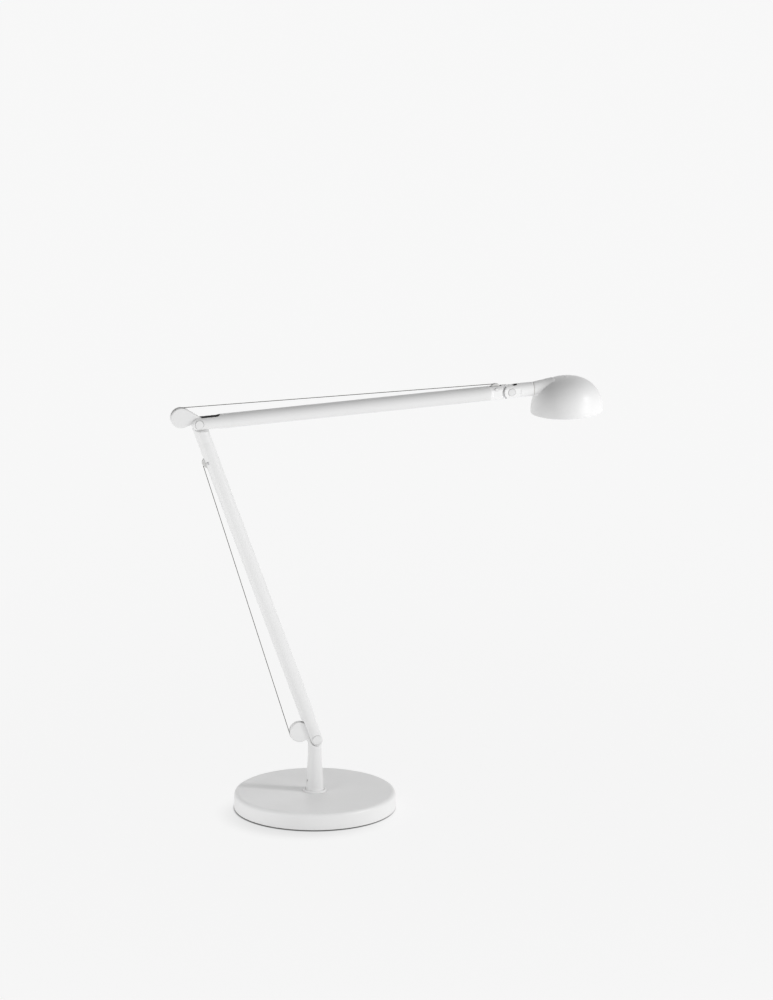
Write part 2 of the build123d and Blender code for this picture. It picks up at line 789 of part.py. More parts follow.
hub_top = shade_height - shade_wall - 0.4
sink_base = 30.0
sink_radius = 23.0
sink_plate = 2.4
fin_height = 3.4
fin_length = 13.0
fin_thickness = 1.2
fin_middle = 13.5
post_radius = 4.5
post_foot_radius = 7.5
screw_depth = 8.0
screw_head_radius = 1.7
screw_head_height = 0.35
with BuildPart() as heat_sink:
    with BuildSketch(shade_level(sink_base)):
        Circle(sink_radius)
    extrude(amount=sink_plate)
    with BuildSketch(shade_level(sink_base + sink_plate)):
        for fin in range(8):
            with Locations(Rotation(0, 0, fin * 45)):
                with Locations((fin_middle, 0)):
                    Rectangle(fin_length, fin_thickness)
        Circle(post_foot_radius)
    extrude(amount=fin_height)
    with BuildSketch(shade_level(sink_base + sink_plate + fin_height)):
        Circle(post_radius)
    extrude(amount=hub_top - sink_base - sink_plate - fin_height)
    with BuildSketch(shade_level(hub_top)):
        Circle(crown_hole_radius)
    extrude(amount=-screw_depth - 1, mode=Mode.SUBTRACT)
write(heat_sink, "heat_sink")

with BuildPart() as crown_screw:
    with BuildSketch(shade_level(hub_top - screw_depth)):
        Circle(crown_hole_radius - press_gap)
    extrude(amount=shade_height - hub_top + screw_depth + 0.1)
    with BuildSketch(shade_level(shade_height + 0.01)):
        Circle(screw_head_radius)
    extrude(amount=screw_head_height)
write(crown_screw, "crown_screw")

board_radius = 16.0
board_thickness = 1.6
led_size = 3.5
led_height = 0.9
led_ring_radius = 9.0
with BuildPart() as led_board:
    with BuildSketch(shade_level(sink_base - board_thickness)):
        Circle(board_radius)
    extrude(amount=board_thickness)
    with BuildSketch(shade_level(sink_base - board_thickness)):
        with PolarLocations(led_ring_radius, 6):
            Rectangle(led_size, led_size)
        Rectangle(led_size, led_size)
    extrude(amount=-led_height)
write(led_board, "led_board")

diffuser_low = 10.0
diffuser_high = 12.0
diffuser_radius = 41.0
ring_outside = 41.9
ring_inside = 38.2
ring_height = 1.8
with BuildPart() as reflector:
    with BuildSketch(side_plane(shade_centre, shade_tilt)):
        with BuildLine():
            Polyline(
                (39.6, diffuser_high),
                (40.8, diffuser_high),
                (16.6, sink_base - 1.0),
                (16.6, sink_base - 1.9),
                (15.4, sink_base - 1.9),
                close=True,
            )
        make_face()
    revolve(axis=shade_axis)
write(reflector, "reflector")

with BuildPart() as diffuser:
    with BuildSketch(shade_level(diffuser_low)):
        Circle(diffuser_radius)
    extrude(amount=diffuser_high - diffuser_low)
write(diffuser, "diffuser")

with BuildPart() as diffuser_ring:
    with BuildSketch(shade_level(diffuser_low)):
        Circle(ring_outside)
        Circle(ring_inside, mode=Mode.SUBTRACT)
    extrude(amount=-ring_height)
write(diffuser_ring, "diffuser_ring")
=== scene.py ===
import bmesh
import bpy
import json
from math import acos, asin, atan2, cos, pi, radians, sin, sqrt
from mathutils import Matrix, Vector


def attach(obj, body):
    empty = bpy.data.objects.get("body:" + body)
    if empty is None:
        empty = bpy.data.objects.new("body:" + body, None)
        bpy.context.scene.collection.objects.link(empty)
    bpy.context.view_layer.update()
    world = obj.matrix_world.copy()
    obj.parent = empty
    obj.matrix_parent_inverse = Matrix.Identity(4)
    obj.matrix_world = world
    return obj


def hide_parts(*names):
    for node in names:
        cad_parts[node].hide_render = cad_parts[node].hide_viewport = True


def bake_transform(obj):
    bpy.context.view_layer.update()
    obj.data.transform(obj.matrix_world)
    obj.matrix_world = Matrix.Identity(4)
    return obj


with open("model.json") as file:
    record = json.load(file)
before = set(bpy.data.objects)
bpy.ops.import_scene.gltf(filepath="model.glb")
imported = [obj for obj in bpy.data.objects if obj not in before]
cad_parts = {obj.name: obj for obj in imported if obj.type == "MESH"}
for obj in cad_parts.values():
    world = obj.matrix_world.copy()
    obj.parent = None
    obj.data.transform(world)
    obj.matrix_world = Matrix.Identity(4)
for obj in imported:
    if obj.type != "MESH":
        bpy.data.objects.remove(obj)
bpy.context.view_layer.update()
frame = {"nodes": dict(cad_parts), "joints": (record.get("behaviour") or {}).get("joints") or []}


# ---------------------------------------------------------------- viewpoint
# A long lens stands a little to the left of the lamp's front and looks slightly down on it,
# so that the verticals stay straight and both arms are seen from the side.

view_turn = radians(-12.0)
view_rise = radians(14.726)
view_distance = 8.5914
view_centre = Vector((0.090705, 0.0, 0.388708))
view_back = Vector((
    sin(view_turn) * cos(view_rise),
    -cos(view_turn) * cos(view_rise),
    sin(view_rise),
))
camera_data = bpy.data.cameras.new("viewpoint")
camera_data.lens = 252.0
camera_data.sensor_width = 36.0
camera_data.clip_start = 0.1
camera_data.clip_end = 100.0
camera = bpy.data.objects.new("viewpoint", camera_data)
camera.location = view_centre + view_back * view_distance
camera.rotation_mode = "QUATERNION"
camera.rotation_quaternion = (-view_back).to_track_quat("-Z", "Y")
bpy.context.scene.collection.objects.link(camera)
bpy.context.scene.camera = camera
bpy.context.scene.view_settings.view_transform = "Standard"


# ---------------------------------------------------------------- studio
# A pale glowing floor that runs into an equally pale backdrop, an even white surround with a dark
# card hung above the lamp, and soft lights, the strongest at the right. Only the surround lights
# the floor, so that it stays even. Its glow dies away under the base and dims in front of it: a
# painted contact shadow under the base and a painted soft shadow in front of it.

backdrop_white = 0.9216
surround_white = 0.57
floor_albedo = 0.25
kept_off_by_card = 0.013
floor_glow = backdrop_white - floor_albedo * surround_white + kept_off_by_card
# The floor's glow is dimmed in two rings as painted shadow: a dark line under the base's edge, and a soft
# shadow towards the front left.
painted_shadow_under_base = (0.0980, 0.1016, 0.10)
base_shadow_place = (-0.0006, 0.0, 0.0)
painted_shadow_in_front = (0.070, 0.118, 0.79)
painted_shadow_place = (-0.016, -0.022, 0.0)
floor_half = 30.0
card_half = 0.48
card_place = (0.1, 0.0, 1.1)


def put_node(tree, kind, **settings):
    """Adds a node to a tree and sets what the keywords name."""
    node = tree.nodes.new(kind)
    for setting, value in settings.items():
        setattr(node, setting, value)
    return node


def flat_sheet(name, half):
    """A level square, 2 half wide, round the middle of the studio."""
    mesh = bpy.data.meshes.new(name)
    corners = ((-half, -half, 0.0), (half, -half, 0.0), (half, half, 0.0), (-half, half, 0.0))
    mesh.from_pydata(corners, [], [(0, 1, 2, 3)])
    sheet = bpy.data.objects.new(name, mesh)
    bpy.context.scene.collection.objects.link(sheet)
    return sheet


world = bpy.data.worlds.new("studio")
bpy.context.scene.world = world
world.use_nodes = True
sky = world.node_tree
sky.nodes.clear()
lit = put_node(sky, "ShaderNodeBackground")
lit.inputs["Color"].default_value = (surround_white, surround_white, surround_white, 1)
seen = put_node(sky, "ShaderNodeBackground")
seen.inputs["Color"].default_value = (backdrop_white, backdrop_white, backdrop_white, 1)
rays = put_node(sky, "ShaderNodeLightPath")
either = put_node(sky, "ShaderNodeMixShader")
sky_out = put_node(sky, "ShaderNodeOutputWorld")
sky.links.new(rays.outputs["Is Camera Ray"], either.inputs["Fac"])
sky.links.new(lit.outputs[0], either.inputs[1])
sky.links.new(seen.outputs[0], either.inputs[2])
sky.links.new(either.outputs[0], sky_out.inputs["Surface"])

floor = flat_sheet("floor", floor_half)
floor_paint = bpy.data.materials.new("studio_floor")
floor_paint.use_nodes = True
floor_shader = floor_paint.node_tree.nodes["Principled BSDF"]
floor_shader.inputs["Base Color"].default_value = (floor_albedo, floor_albedo, floor_albedo, 1)
floor_shader.inputs["Roughness"].default_value = 1.0
floor_shader.inputs["Specular IOR Level"].default_value = 0.0
floor_shader.inputs["Emission Color"].default_value = (1, 1, 1, 1)
floor.data.materials.append(floor_paint)
floor_tree = floor_paint.node_tree
floor_places = put_node(floor_tree, "ShaderNodeTexCoord").outputs["Object"]
glow = put_node(floor_tree, "ShaderNodeMath", operation="MULTIPLY")
for socket, (centre, (dims_at, full_at, least), most) in enumerate((
    (base_shadow_place, painted_shadow_under_base, 1.0),
    (painted_shadow_place, painted_shadow_in_front, floor_glow),
)):
    away = put_node(floor_tree, "ShaderNodeVectorMath", operation="DISTANCE")
    floor_tree.links.new(floor_places, away.inputs[0])
    away.inputs[1].default_value = centre
    ramp = put_node(floor_tree, "ShaderNodeMapRange", interpolation_type="SMOOTHSTEP")
    floor_tree.links.new(away.outputs["Value"], ramp.inputs["Value"])
    ramp.inputs["From Min"].default_value = dims_at
    ramp.inputs["From Max"].default_value = full_at
    ramp.inputs["To Min"].default_value = least * most
    ramp.inputs["To Max"].default_value = most
    floor_tree.links.new(ramp.outputs["Result"], glow.inputs[socket])
floor_tree.links.new(glow.outputs["Value"], floor_shader.inputs["Emission Strength"])

card = flat_sheet("overhead_card", card_half)
card.location = card_place
card.visible_camera = False
card_paint = bpy.data.materials.new("dark_card")
card_paint.use_nodes = True
card_shader = card_paint.node_tree.nodes["Principled BSDF"]
card_shader.inputs["Base Color"].default_value = (0.02, 0.02, 0.02, 1)
card.data.materials.append(card_paint)

spared = bpy.data.collections.new("not_lit_by_the_soft_lights")
spared.objects.link(floor)
spared.collection_objects[0].light_linking.link_state = "EXCLUDE"


def soft_light(name, turn, rise, strength, spread):
    """A distant soft light. turn goes from the front towards the right, and rise is above level."""
    data = bpy.data.lights.new(name, "SUN")
    data.energy = strength
    data.angle = radians(spread)
    lamp = bpy.data.objects.new(name, data)
    a, e = radians(turn), radians(rise)
    towards = Vector((sin(a) * cos(e), -cos(a) * cos(e), sin(e)))
    lamp.rotation_mode = "QUATERNION"
    lamp.rotation_quaternion = towards.to_track_quat("Z", "Y")
    bpy.context.scene.collection.objects.link(lamp)
    lamp.light_linking.receiver_collection = spared


def softbox(name, place, aim, watts, width):
    """A round softbox close to the lamp."""
    data = bpy.data.lights.new(name, "AREA")
    data.energy = watts
    data.shape = "DISK"
    data.size = width
    lamp = bpy.data.objects.new(name, data)
    lamp.location = place
    lamp.rotation_mode = "QUATERNION"
    lamp.rotation_quaternion = (Vector(place) - Vector(aim)).to_track_quat("Z", "Y")
    bpy.context.scene.collection.objects.link(lamp)
    lamp.light_linking.receiver_collection = spared


soft_light("key_light", 65, 30, 0.80, 6)
soft_light("rear_light", 180, 8, 0.30, 50)
softbox("head_softbox", (0.95, -0.6, 0.6), (0.3, 0.0, 0.51), 2.6, 0.5)
softbox("low_left_softbox", (-0.6, -0.30, 0.20), (0.0, 0.0, 0.10), 1.0, 0.4)


# ---------------------------------------------------------------- foot pad
# A disc of dark rubber glued under the base, slightly smaller than it, so that only a thin shadow
# line shows. Moulded with a fine matt grain.

mm = 0.001
pad_radius = 95.0
pad_thickness = 1.5


def group(name, inputs, outputs):
    """An empty node group with its input and output nodes. inputs are (name, kind, usual value)."""
    tree = bpy.data.node_groups.new(name, "ShaderNodeTree")
    for label, kind, usual in inputs:
        socket = tree.interface.new_socket(name=label, in_out="INPUT", socket_type=kind)
        socket.default_value = usual
    for label, kind in outputs:
        tree.interface.new_socket(name=label, in_out="OUTPUT", socket_type=kind)
    return tree, tree.nodes.new("NodeGroupInput"), tree.nodes.new("NodeGroupOutput")


def noise(tree, at, size, detail=2.0, roughness=0.5):
    """A noise of that many waves a metre, or of the size on a socket, over the places on at."""
    made = put_node(tree, "ShaderNodeTexNoise")
    made.inputs["Detail"].default_value = detail
    made.inputs["Roughness"].default_value = roughness
    tree.links.new(at, made.inputs["Vector"])
    if isinstance(size, (int, float)):
        made.inputs["Scale"].default_value = size
    else:
        tree.links.new(size, made.inputs["Scale"])
    return made.outputs["Fac"]


def spread_out(tree, value, low, high, to_low=0.0, to_high=1.0):
    """Maps a value that lies between low and high onto to_low and to_high, and holds it there."""
    made = put_node(tree, "ShaderNodeMapRange", interpolation_type="SMOOTHSTEP")
    tree.links.new(value, made.inputs["Value"])
    made.inputs["From Min"].default_value = low
    made.inputs["From Max"].default_value = high
    made.inputs["To Min"].default_value = to_low
    made.inputs["To Max"].default_value = to_high
    return made.outputs["Result"]


def sums(tree, operation, first, second):
    """A Math node on two sockets, or on a socket and a number."""
    made = put_node(tree, "ShaderNodeMath", operation=operation)
    for place, value in enumerate((first, second)):
        if isinstance(value, (int, float)):
            made.inputs[place].default_value = value
        else:
            tree.links.new(value, made.inputs[place])
    return made.outputs["Value"]


def blended(tree, share, first, second):
    """A colour that goes from first to second with the share."""
    made = put_node(tree, "ShaderNodeMix", data_type="RGBA")
    tree.links.new(share, made.inputs["Factor"])
    for socket, value in ((made.inputs["A"], first), (made.inputs["B"], second)):
        if isinstance(value, tuple):
            socket.default_value = value
        else:
            tree.links.new(value, socket)
    return made.outputs["Result"]


def surface_places(tree):
    """Where each point of the piece is, in the lamp's own directions, in metres."""
    return put_node(tree, "ShaderNodeTexCoord").outputs["Object"]


def moulded_group():
    """Moulded plastic or rubber: a fine grain, slow shifts of tone, and pale scuffs."""
    tree, given, made = group(
        "moulded_surface",
        [
            ("Material colour", "NodeSocketColor", (0.8, 0.8, 0.8, 1)),
            ("Scuff colour", "NodeSocketColor", (0.9, 0.9, 0.9, 1)),
            ("Grain", "NodeSocketFloat", 1500.0),
            ("Lowest roughness", "NodeSocketFloat", 0.4),
            ("Highest roughness", "NodeSocketFloat", 0.6),
        ],
        [("Color", "NodeSocketColor"), ("Roughness", "NodeSocketFloat"), ("Height", "NodeSocketFloat")],
    )
    at = surface_places(tree)
    flow = spread_out(tree, noise(tree, at, 60.0, 3.0), 0.3, 0.7)
    grain = noise(tree, at, given.outputs["Grain"], 2.0)
    scuff = spread_out(tree, noise(tree, at, 420.0, 4.0, 0.7), 0.62, 0.72)
    tone = sums(tree, "MULTIPLY", flow, 0.35)
    shaded = blended(tree, tone, given.outputs["Material colour"], given.outputs["Scuff colour"])
    scuffed = sums(tree, "MULTIPLY", scuff, 0.5)
    tree.links.new(blended(tree, scuffed, shaded, given.outputs["Scuff colour"]), made.inputs["Color"])
    least, most = given.outputs["Lowest roughness"], given.outputs["Highest roughness"]
    span = sums(tree, "SUBTRACT", most, least)
    share = sums(tree, "MULTIPLY", span, sums(tree, "MAXIMUM", flow, scuff))
    tree.links.new(sums(tree, "ADD", least, share), made.inputs["Roughness"])
    tree.links.new(sums(tree, "ADD", grain, sums(tree, "MULTIPLY", scuff, -0.3)), made.inputs["Height"])
    return tree


moulded = moulded_group()


def finish_from(name, source, values, bump, strength=1.0, **shader_values):
    """A material whose colour, roughness and bump come from a node group with these values.
    bump is the height of the group's relief in millimetres."""
    material = bpy.data.materials.new(name)
    material.use_nodes = True
    tree = material.node_tree
    shader = tree.nodes["Principled BSDF"]
    skin = put_node(tree, "ShaderNodeGroup", node_tree=source)
    for label, value in values.items():
        skin.inputs[label].default_value = value
    relief = put_node(tree, "ShaderNodeBump")
    relief.inputs["Distance"].default_value = bump * mm
    relief.inputs["Strength"].default_value = strength
    tree.links.new(skin.outputs["Color"], shader.inputs["Base Color"])
    tree.links.new(skin.outputs["Roughness"], shader.inputs["Roughness"])
    tree.links.new(skin.outputs["Height"], relief.inputs["Height"])
    tree.links.new(relief.outputs["Normal"], shader.inputs["Normal"])
    for label, value in shader_values.items():
        shader.inputs[label.replace("_", " ")].default_value = value
    return material


foot_rubber = finish_from(
    "foot_rubber", moulded,
    {
        "Material colour": (0.035, 0.035, 0.037, 1),
        "Scuff colour": (0.075, 0.073, 0.070, 1),
        "Grain": 2200.0,
        "Lowest roughness": 0.72,
        "Highest roughness": 0.9,
    },
    bump=0.04,
)


def eased(corners):
    """An outline's points from its corners (radius, height, rounding), with each corner rounded."""
    points = []
    count = len(corners)
    for i, (r, h, ease) in enumerate(corners):
        corner = Vector((r, h))
        back = Vector(corners[i - 1][:2]) - corner
        on = Vector(corners[(i + 1) % count][:2]) - corner
        if not ease or back.length < 1e-6 or on.length < 1e-6:
            points.append(corner)
            continue
        back.normalize()
        on.normalize()
        half = acos(max(-1.0, min(1.0, back.dot(on)))) / 2
        middle = corner + (back + on).normalized() * ease / sin(half)
        first = corner + back * ease / sin(pi / 2 - half) * cos(half)
        last = corner + on * ease / sin(pi / 2 - half) * cos(half)
        start = atan2(*(first - middle).yx)
        sweep = atan2(*(last - middle).yx) - start
        sweep = (sweep + pi) % (2 * pi) - pi
        steps = 7 if ease > 1 else 4
        for k in range(steps + 1):
            a = start + sweep * k / steps
            points.append(middle + Vector((cos(a), sin(a))) * ease)
    return points


def crease(mesh, angle=40.0):
    """Smooth shading, with a hard line only where two faces meet at more than the angle."""
    shape = bmesh.new()
    shape.from_mesh(mesh)
    bmesh.ops.recalc_face_normals(shape, faces=shape.faces)
    for face in shape.faces:
        face.smooth = True
    for edge in shape.edges:
        edge.smooth = len(edge.link_faces) == 2 and edge.calc_face_angle() < radians(angle)
    shape.to_mesh(mesh)
    shape.free()


def turned(name, outline, centre=(0, 0, 0), axis=(0, 0, 1), slices=96):
    """A part turned about an axis through centre, from an outline of (radius, height) in
    millimetres. An outline that starts and ends on the axis is solid, and any other is a ring."""
    outward = Vector(axis).to_track_quat("Z", "Y").to_matrix()
    rows, vertices, faces = [], [], []
    for r, h in outline:
        if r < 1e-6:
            rows.append([len(vertices)] * slices)
            vertices.append(Vector(centre) + outward @ Vector((0, 0, h * mm)))
            continue
        rows.append(range(len(vertices), len(vertices) + slices))
        for k in range(slices):
            a = 2 * pi * k / slices
            vertices.append(Vector(centre) + outward @ Vector((r * cos(a), r * sin(a), h)) * mm)
    on_axis = outline[0][0] < 1e-6 and outline[-1][0] < 1e-6
    for i in range(len(rows) - on_axis):
        low, high = rows[i], rows[(i + 1) % len(rows)]
        for k in range(slices):
            n = (k + 1) % slices
            corners = [low[k], low[n], high[n], high[k]]
            faces.append(list(dict.fromkeys(corners)))
    mesh = bpy.data.meshes.new(name)
    mesh.from_pydata(vertices, [], faces)
    mesh.validate()
    crease(mesh)
    piece = bpy.data.objects.new(name, mesh)
    bpy.context.scene.collection.objects.link(piece)
    return piece


def fit(piece, body, slot, material, *nodes):
    """Gives a new piece its finish, and puts it on its body in place of the CAD nodes named."""
    piece.data.materials.clear()
    piece.data.materials.append(material)
    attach(piece, body)
    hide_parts(*nodes)


def paint(node, material):
    """Gives a CAD node that stays as it is its finish."""
    frame["nodes"][node].material_slots[0].material = material


pad = turned(
    "rubber_pad",
    eased([(0, 0, 0), (pad_radius, 0, 0.5), (pad_radius, pad_thickness, 0.2), (0, pad_thickness, 0)]),
    slices=192,
)
fit(pad, "base", "foot_rubber", foot_rubber, "foot_pad")


# ---------------------------------------------------------------- base cover and collar
# A sheet steel pressing, open below, with a broad rounding round its flat top. A low steel ring
# stands round the foot of the stem. Both are coated with satin white powder paint.

base_radius = 100.0
base_top = 22.3
base_rounding = 5.5
cover_wall = 1.6
bush_hole = 9.02
collar_radius = 14.65
collar_hole = 11.9
collar_top = 24.6


def paint_group():
    """Powder paint: the ripple of an orange peel, a thinner film along edges, a slow drift in
    tone, and a little dust on what faces up."""
    tree, given, made = group(
        "paint_film",
        [
            ("Paint", "NodeSocketColor", (0.8, 0.8, 0.8, 1)),
            ("Thin paint", "NodeSocketColor", (0.7, 0.7, 0.7, 1)),
            ("Dust", "NodeSocketColor", (0.6, 0.58, 0.55, 1)),
            ("Dust share", "NodeSocketFloat", 0.1),
            ("Edge reach", "NodeSocketFloat", 0.0006),
            ("Peel", "NodeSocketFloat", 900.0),
            ("Satin", "NodeSocketFloat", 0.4),
        ],
        [("Color", "NodeSocketColor"), ("Roughness", "NodeSocketFloat"), ("Height", "NodeSocketFloat")],
    )
    at = surface_places(tree)
    facing = put_node(tree, "ShaderNodeNewGeometry").outputs["Normal"]
    eased_normal = put_node(tree, "ShaderNodeBevel", samples=4)
    tree.links.new(given.outputs["Edge reach"], eased_normal.inputs["Radius"])
    lean = put_node(tree, "ShaderNodeVectorMath", operation="DOT_PRODUCT")
    tree.links.new(facing, lean.inputs[0])
    tree.links.new(eased_normal.outputs["Normal"], lean.inputs[1])
    edge = spread_out(tree, lean.outputs["Value"], 0.985, 0.86)
    drift = spread_out(tree, noise(tree, at, 14.0, 3.0), 0.3, 0.7)
    speck = spread_out(tree, noise(tree, at, 650.0, 4.0, 0.65), 0.60, 0.74)
    patchy = spread_out(tree, noise(tree, at, 300.0, 3.0), 0.35, 0.65, 0.3, 1.0)
    thin = sums(tree, "MULTIPLY", edge, patchy)
    up = put_node(tree, "ShaderNodeSeparateXYZ")
    tree.links.new(facing, up.inputs[0])
    level = spread_out(tree, up.outputs["Z"], 0.5, 1.0)
    settled = sums(tree, "MULTIPLY", level, given.outputs["Dust share"])
    dust = sums(tree, "MULTIPLY", settled, sums(tree, "ADD", sums(tree, "MULTIPLY", drift, 0.5), speck))
    shift = sums(tree, "MULTIPLY", drift, 0.22)
    toned = blended(tree, shift, given.outputs["Paint"], given.outputs["Thin paint"])
    edged = blended(tree, sums(tree, "MULTIPLY", thin, 0.6), toned, given.outputs["Thin paint"])
    tree.links.new(blended(tree, dust, edged, given.outputs["Dust"]), made.inputs["Color"])
    rough = sums(tree, "ADD", given.outputs["Satin"], sums(tree, "MULTIPLY", drift, 0.05))
    rough = sums(tree, "ADD", rough, sums(tree, "MULTIPLY", thin, 0.08))
    tree.links.new(sums(tree, "ADD", rough, sums(tree, "MULTIPLY", dust, 0.5)), made.inputs["Roughness"])
    peel = noise(tree, at, given.outputs["Peel"], 1.5)
    slow = noise(tree, at, 160.0, 1.0)
    tree.links.new(sums(tree, "ADD", peel, sums(tree, "MULTIPLY", slow, 1.5)), made.inputs["Height"])
    return tree


paint_film = paint_group()
white_paint = finish_from(
    "satin_white_paint", paint_film,
    {
        "Paint": (0.80, 0.80, 0.80, 1),
        "Thin paint": (0.76, 0.76, 0.755, 1),
        "Dust": (0.66, 0.65, 0.63, 1),
        "Dust share": 0.12,
        "Edge reach": 0.0007,
        "Peel": 1100.0,
        "Satin": 0.40,
    },
    bump=0.006,
)

cover = turned(
    "cover_pressing",
    eased([
        (base_radius, pad_thickness, 0.35),
        (base_radius, base_top, base_rounding),
        (bush_hole, base_top, 0.15),
        (bush_hole, base_top - cover_wall, 0.15),
        (base_radius - cover_wall, base_top - cover_wall, base_rounding - cover_wall),
        (base_radius - cover_wall, pad_thickness, 0.35),
    ]),
    slices=256,
)
fit(cover, "base", "white_paint", white_paint, "base_cover")

collar = turned(
    "collar_ring",
    eased([
        (collar_radius, base_top, 0),
        (collar_radius, collar_top, 1.2),
        (collar_hole, collar_top, 0.4),
        (collar_hole, base_top, 0),
    ]),
    slices=128,
)
fit(collar, "base", "white_paint", white_paint, "base_collar")


# ---------------------------------------------------------------- base weight and bush
# A cast iron disc fills the cover and keeps the lamp on its foot. It is left rough and primed
# black. A nylon bush in its middle carries the stem.

weight_radius = 98.2
weight_top = 20.7
weight_bevel = 3.9
nut_recess = 16.0
recess_top = 10.0
spindle_hole = 6.05
bush_radius = 9.0
bush_flange = 11.3
bush_top = base_top + 1.0


def cast_group():
    """Sand casting: a coarse pitted skin, with the primer worn to brown rust in patches."""
    tree, given, made = group(
        "sand_cast",
        [
            ("Primer", "NodeSocketColor", (0.05, 0.05, 0.05, 1)),
            ("Rust", "NodeSocketColor", (0.2, 0.1, 0.05, 1)),
        ],
        [("Color", "NodeSocketColor"), ("Roughness", "NodeSocketFloat"), ("Height", "NodeSocketFloat")],
    )
    at = surface_places(tree)
    lumps = noise(tree, at, 260.0, 5.0, 0.6)
    patches = spread_out(tree, noise(tree, at, 45.0, 4.0, 0.6), 0.55, 0.72)
    skin = blended(tree, patches, given.outputs["Primer"], given.outputs["Rust"])
    tree.links.new(skin, made.inputs["Color"])
    tree.links.new(sums(tree, "ADD", sums(tree, "MULTIPLY", patches, 0.15), 0.7), made.inputs["Roughness"])
    tree.links.new(lumps, made.inputs["Height"])
    return tree


cast_iron = finish_from(
    "primed_cast_iron", cast_group(),
    {"Primer": (0.045, 0.045, 0.048, 1), "Rust": (0.16, 0.085, 0.05, 1)},
    bump=0.25,
)
weight = turned(
    "iron_weight",
    eased([
        (weight_radius, pad_thickness, 0.6),
        (weight_radius, weight_top - weight_bevel, 0.8),
        (weight_radius - weight_bevel, weight_top, 0.8),
        (bush_hole, weight_top, 0.3),
        (bush_hole, recess_top, 0.2),
        (nut_recess, recess_top, 0.5),
        (nut_recess, pad_thickness, 0.5),
    ]),
    slices=192,
)
fit(weight, "base", "cast_weight", cast_iron, "base_weight")

bearing_plastic = finish_from(
    "bearing_nylon", moulded,
    {
        "Material colour": (0.70, 0.68, 0.62, 1),
        "Scuff colour": (0.60, 0.58, 0.53, 1),
        "Grain": 1800.0,
        "Lowest roughness": 0.38,
        "Highest roughness": 0.58,
    },
    bump=0.01,
)
bush = turned(
    "stem_bush",
    eased([
        (bush_radius, recess_top, 0.2),
        (bush_radius, base_top, 0),
        (bush_flange, base_top, 0.2),
        (bush_flange, bush_top, 0.2),
        (spindle_hole, bush_top, 0.15),
        (spindle_hole, recess_top, 0.15),
    ]),
)
fit(bush, "base", "bearing_plastic", bearing_plastic, "base_bush")


# ---------------------------------------------------------------- stem
# A tapered post, cast in one with the tongue of the lower joint and with a lever that holds a
# fixed disc for the balance wire. It turns on a spindle that a grub screw holds.

soft_corner_grid = 0.4
soft_corner_passes = 4


def casting(name, node, grid, passes, keep=0.5):
    """A die casting in the shape of a CAD node, with its corners softened as they leave the mould.
    grid is the size of its faces in millimetres before they are thinned to the share kept."""
    shape = bmesh.new()
    shape.from_mesh(frame["nodes"][node].data)
    bmesh.ops.remove_doubles(shape, verts=shape.verts, dist=0.002 * mm)
    rough = bpy.data.meshes.new(name + "_rough")
    shape.to_mesh(rough)
    shape.free()
    piece = bpy.data.objects.new(name, rough)
    bpy.context.scene.collection.objects.link(piece)
    skin = piece.modifiers.new("skin", "REMESH")
    skin.mode = "VOXEL"
    skin.voxel_size = grid * mm
    soften = piece.modifiers.new("soften", "SMOOTH")
    soften.factor = 0.5
    soften.iterations = passes
    thin = piece.modifiers.new("thin", "DECIMATE")
    thin.ratio = keep
    ready = piece.evaluated_get(bpy.context.evaluated_depsgraph_get())
    mesh = bpy.data.meshes.new_from_object(ready)
    mesh.name = name
    piece.modifiers.clear()
    piece.data = mesh
    mesh.shade_smooth()
    return piece


stem = casting("stem_casting", "stem", soft_corner_grid, soft_corner_passes)
fit(stem, "stem", "white_paint", white_paint, "stem")


def metal_group():
    """Machined metal: fine tool lines along one direction and a faint tarnish."""
    tree, given, made = group(
        "machined_metal",
        [
            ("Metal", "NodeSocketColor", (0.6, 0.6, 0.6, 1)),
            ("Tarnish", "NodeSocketColor", (0.4, 0.38, 0.35, 1)),
            ("Line density", "NodeSocketVector", (200.0, 4000.0, 200.0)),
            ("Polish", "NodeSocketFloat", 0.25),
        ],
        [("Color", "NodeSocketColor"), ("Roughness", "NodeSocketFloat"), ("Height", "NodeSocketFloat")],
    )
    at = surface_places(tree)
    drawn = put_node(tree, "ShaderNodeVectorMath", operation="MULTIPLY")
    tree.links.new(at, drawn.inputs[0])
    tree.links.new(given.outputs["Line density"], drawn.inputs[1])
    lines = noise(tree, drawn.outputs["Vector"], 1.0, 3.0)
    tarnish = spread_out(tree, noise(tree, at, 220.0, 4.0, 0.6), 0.45, 0.75)
    dulled = sums(tree, "MULTIPLY", tarnish, 0.5)
    skin = blended(tree, dulled, given.outputs["Metal"], given.outputs["Tarnish"])
    tree.links.new(skin, made.inputs["Color"])
    rough = sums(tree, "ADD", given.outputs["Polish"], sums(tree, "MULTIPLY", lines, 0.12))
    rough = sums(tree, "ADD", rough, sums(tree, "MULTIPLY", tarnish, 0.15))
    tree.links.new(rough, made.inputs["Roughness"])
    tree.links.new(lines, made.inputs["Height"])
    return tree


machined = metal_group()
steel = finish_from(
    "zinc_plated_steel", machined,
    {
        "Metal": (0.62, 0.62, 0.63, 1),
        "Tarnish": (0.42, 0.40, 0.37, 1),
        "Line density": (300.0, 5000.0, 300.0),
        "Polish": 0.22,
    },
    bump=0.004, Metallic=1.0,
)
# Black oxide on the grub screw. The same black is also put on the walls of the arms' slots as painted
# shade.
black_oxide_and_slot_shade = finish_from(
    "black_oxide_and_slot_shade", machined,
    {
        "Metal": (0.075, 0.075, 0.078, 1),
        "Tarnish": (0.120, 0.112, 0.100, 1),
        "Line density": (300.0, 300.0, 3000.0),
        "Polish": 0.55,
    },
    bump=0.004, Metallic=0.3,
)
for node in ("spindle", "spindle_washer", "spindle_nut"):
    paint(node, steel)
paint("grub_screw", black_oxide_and_slot_shade)


# ---------------------------------------------------------------- lower arm
# A thin steel tube with a forked steel plug at its foot and a die cast lever at its top, both
# pressed in and painted with it. Its milled slot near the top holds the small pulley.

